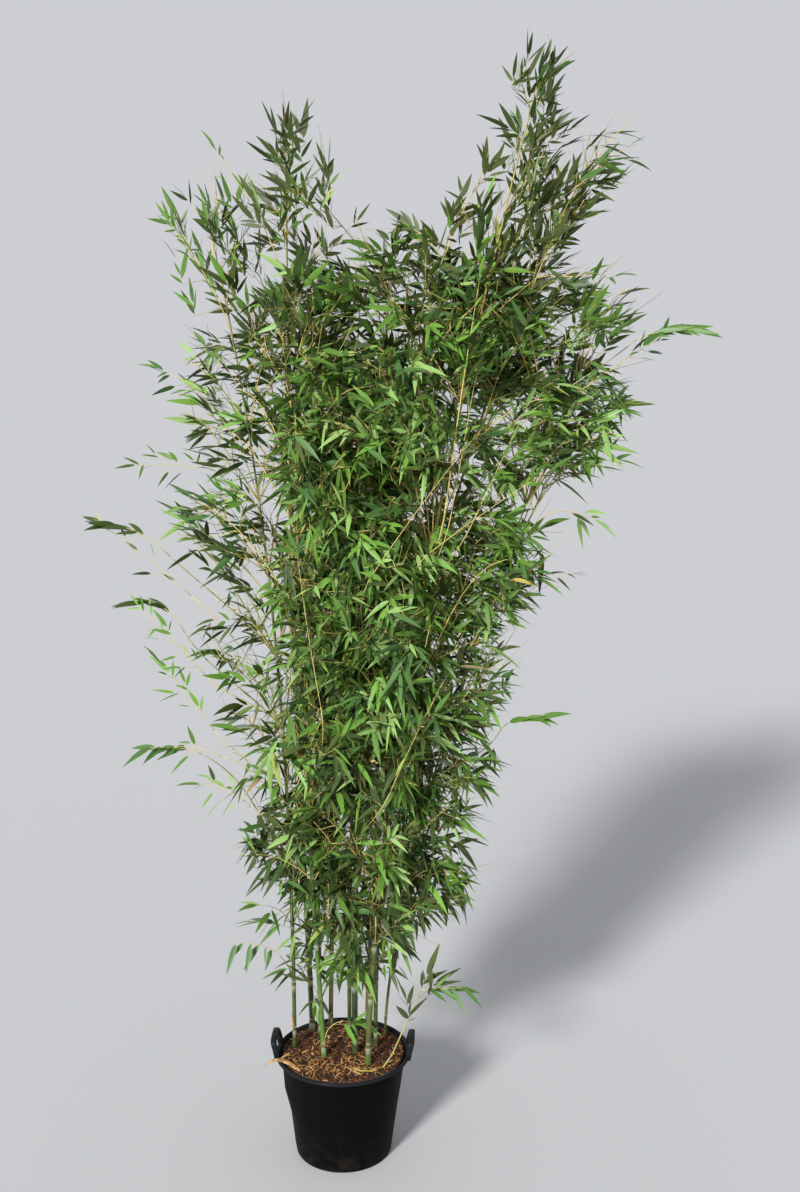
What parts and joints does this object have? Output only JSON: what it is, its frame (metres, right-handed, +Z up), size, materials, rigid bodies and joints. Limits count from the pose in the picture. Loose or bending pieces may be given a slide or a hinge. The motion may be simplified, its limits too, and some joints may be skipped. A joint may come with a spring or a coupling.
{
  "type": "potted clump bamboo",
  "caption": "Tall clump of leafy bamboo canes with a two-peaked, open-sided crown, standing in a round black nursery container with upright handles.",
  "frame": {"origin": "centre of the container's flat underside", "axes": "+Z up along the canes, -Y towards the front of the plant, +X to the right of the front"},
  "size_m": [1.8882, 0.6669, 3.555],
  "materials": {
    "container": "satin black moulded plastic, a little scuffed, shinier on the rolled rim",
    "potting_mix": "coarse brown bark mix with straw-coloured husks and white specks",
    "cane": "smooth olive-green cane with pale rings at the nodes and straw sheath remains",
    "twig": "thin yellow-green to straw branchlets",
    "foliage": "satin mid-green lance-shaped leaves, paler below, with a few yellow ones"
  },
  "bodies": {
    "root": {"container": "container", "handle_left": "container", "handle_right": "container", "soil": "potting_mix", "culm_left_outer": "cane", "culm_left_peak": "cane", "culm_left_back": "cane", "culm_front_bright": "cane", "culm_middle_back": "cane", "culm_middle": "cane", "culm_middle_dark": "cane", "culm_right_peak": "cane", "culm_right_inner": "cane", "culm_right_back": "cane", "culm_right_thin": "cane", "leaning_shoot": "cane", "left_peak": "foliage", "left_brow": "foliage", "left_crest": "foliage", "left_shoulder": "foliage", "left_arm": "foliage", "left_flank": "foliage", "left_waist": "foliage", "left_skirt": "foliage", "middle_crest": "foliage", "middle_heart_front": "foliage", "middle_heart_back": "foliage", "middle_body_front": "foliage", "middle_body_back": "foliage", "middle_waist_front": "foliage", "middle_waist_back": "foliage", "middle_skirt": "foliage", "middle_foot": "foliage", "right_peak": "foliage", "right_brow": "foliage", "right_wing": "foliage", "right_crest": "foliage", "right_shoulder": "foliage", "right_arm": "foliage", "right_elbow": "foliage", "right_flank": "foliage", "right_waist": "foliage", "right_hip": "foliage", "right_skirt": "foliage", "far_left_upper_spray": "foliage", "far_left_lower_spray": "foliage", "left_low_spray": "foliage", "far_right_spray": "foliage", "right_low_spray": "foliage", "foot_left_spray": "foliage", "foot_right_spray": "foliage", "bough_far_left_upper": "twig", "bough_far_left_lower": "twig", "bough_left_low": "twig", "bough_far_right": "twig", "bough_right_low": "twig", "bough_foot_left": "twig"}
  },
  "joints": []
}
